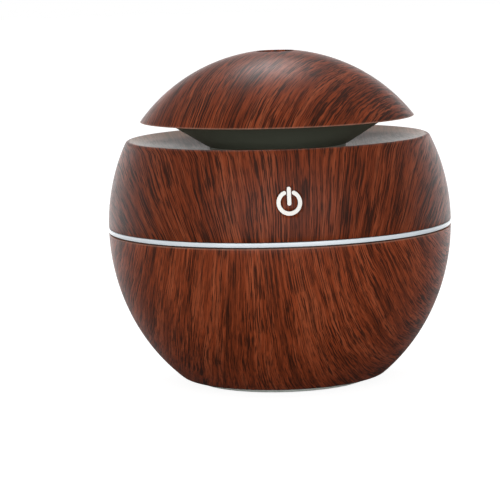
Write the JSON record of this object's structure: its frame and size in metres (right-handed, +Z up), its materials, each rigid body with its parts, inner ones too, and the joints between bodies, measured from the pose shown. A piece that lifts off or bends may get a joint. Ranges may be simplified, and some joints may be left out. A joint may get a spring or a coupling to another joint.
{
  "type": "essential oil diffuser",
  "caption": "Ball-shaped ultrasonic essential oil diffuser with a lift-off domed lid on a dark funnel, a light ring round its middle and a flush touch power mark.",
  "frame": {"origin": "centre of the footprint, on the surface that the silicone pads stand on", "axes": "+Z up along the axis of the round body and lid, -Y towards the power mark (front), +Y towards the power socket (rear), +X to the left hand of someone behind it"},
  "size_m": [0.1, 0.1, 0.0966],
  "materials": {
    "wood_print": "satin",
    "dark_plastic": "matte",
    "base_plastic": "matte",
    "silicone": "matte",
    "white_inlay": "satin",
    "light_diffuser": "satin",
    "screw_steel": "satin",
    "black_plastic": "matte",
    "contact_brass": "polished",
    "tank_plastic": "satin",
    "plated_brass": "satin",
    "board_green": "satin",
    "board_white": "satin",
    "ferrite": "matte",
    "can_aluminium": "satin",
    "led_body": "satin",
    "spring_steel": "polished",
    "winding_copper": "satin",
    "red_lead": "satin",
    "black_lead": "satin",
    "foam": "matte"
  },
  "bodies": {
    "housing": {"upper_shell": "wood_print", "lower_shell": "wood_print", "mouth_ring": "dark_plastic", "base_cover": "base_plastic", "foot_pads": "silicone", "power_icon": "white_inlay", "light_ring": "light_diffuser", "base_screws": "screw_steel", "socket_clamp_screws": "screw_steel", "tank_screws": "screw_steel", "retainer_screws": "screw_steel", "board_screws": "screw_steel", "touch_board_screws": "screw_steel", "fan_screws": "screw_steel", "power_socket": "black_plastic", "socket_contacts": "contact_brass", "socket_clamp": "tank_plastic", "water_tank": "tank_plastic", "air_duct": "tank_plastic", "post_frame": "tank_plastic", "tank_gasket": "silicone", "duct_hood": "tank_plastic", "transducer_seal": "silicone", "transducer_disc": "plated_brass", "transducer_retainer": "tank_plastic", "main_board": "board_green", "inductor": "ferrite", "capacitors": "can_aluminium", "chips": "black_plastic", "connectors": "white_inlay", "light_board": "board_white", "leds": "led_body", "touch_board": "board_green", "touch_foam": "foam", "fan_frame": "black_plastic", "fan_bearing": "contact_brass", "fan_stator": "winding_copper", "socket_leads": "red_lead", "transducer_leads": "black_lead", "fan_leads": "red_lead", "light_leads": "black_lead", "touch_lead": "black_lead"},
    "lid": {"dome_cover": "wood_print", "lid_funnel": "dark_plastic", "splash_baffle": "dark_plastic"},
    "fan": {"fan_rotor": "black_plastic", "fan_magnet": "ferrite", "fan_shaft": "spring_steel"}
  },
  "joints": [
    {"name": "lid_lift", "type": "slide", "parent": "housing", "child": "lid", "axis": [0, 0, 1], "range_m": [0, 0.05]},
    {"name": "fan_spin", "type": "hinge", "parent": "housing", "child": "fan", "pos_m": [0, 0, 0.008], "axis": [0, 0, 1], "continuous": true}
  ]
}
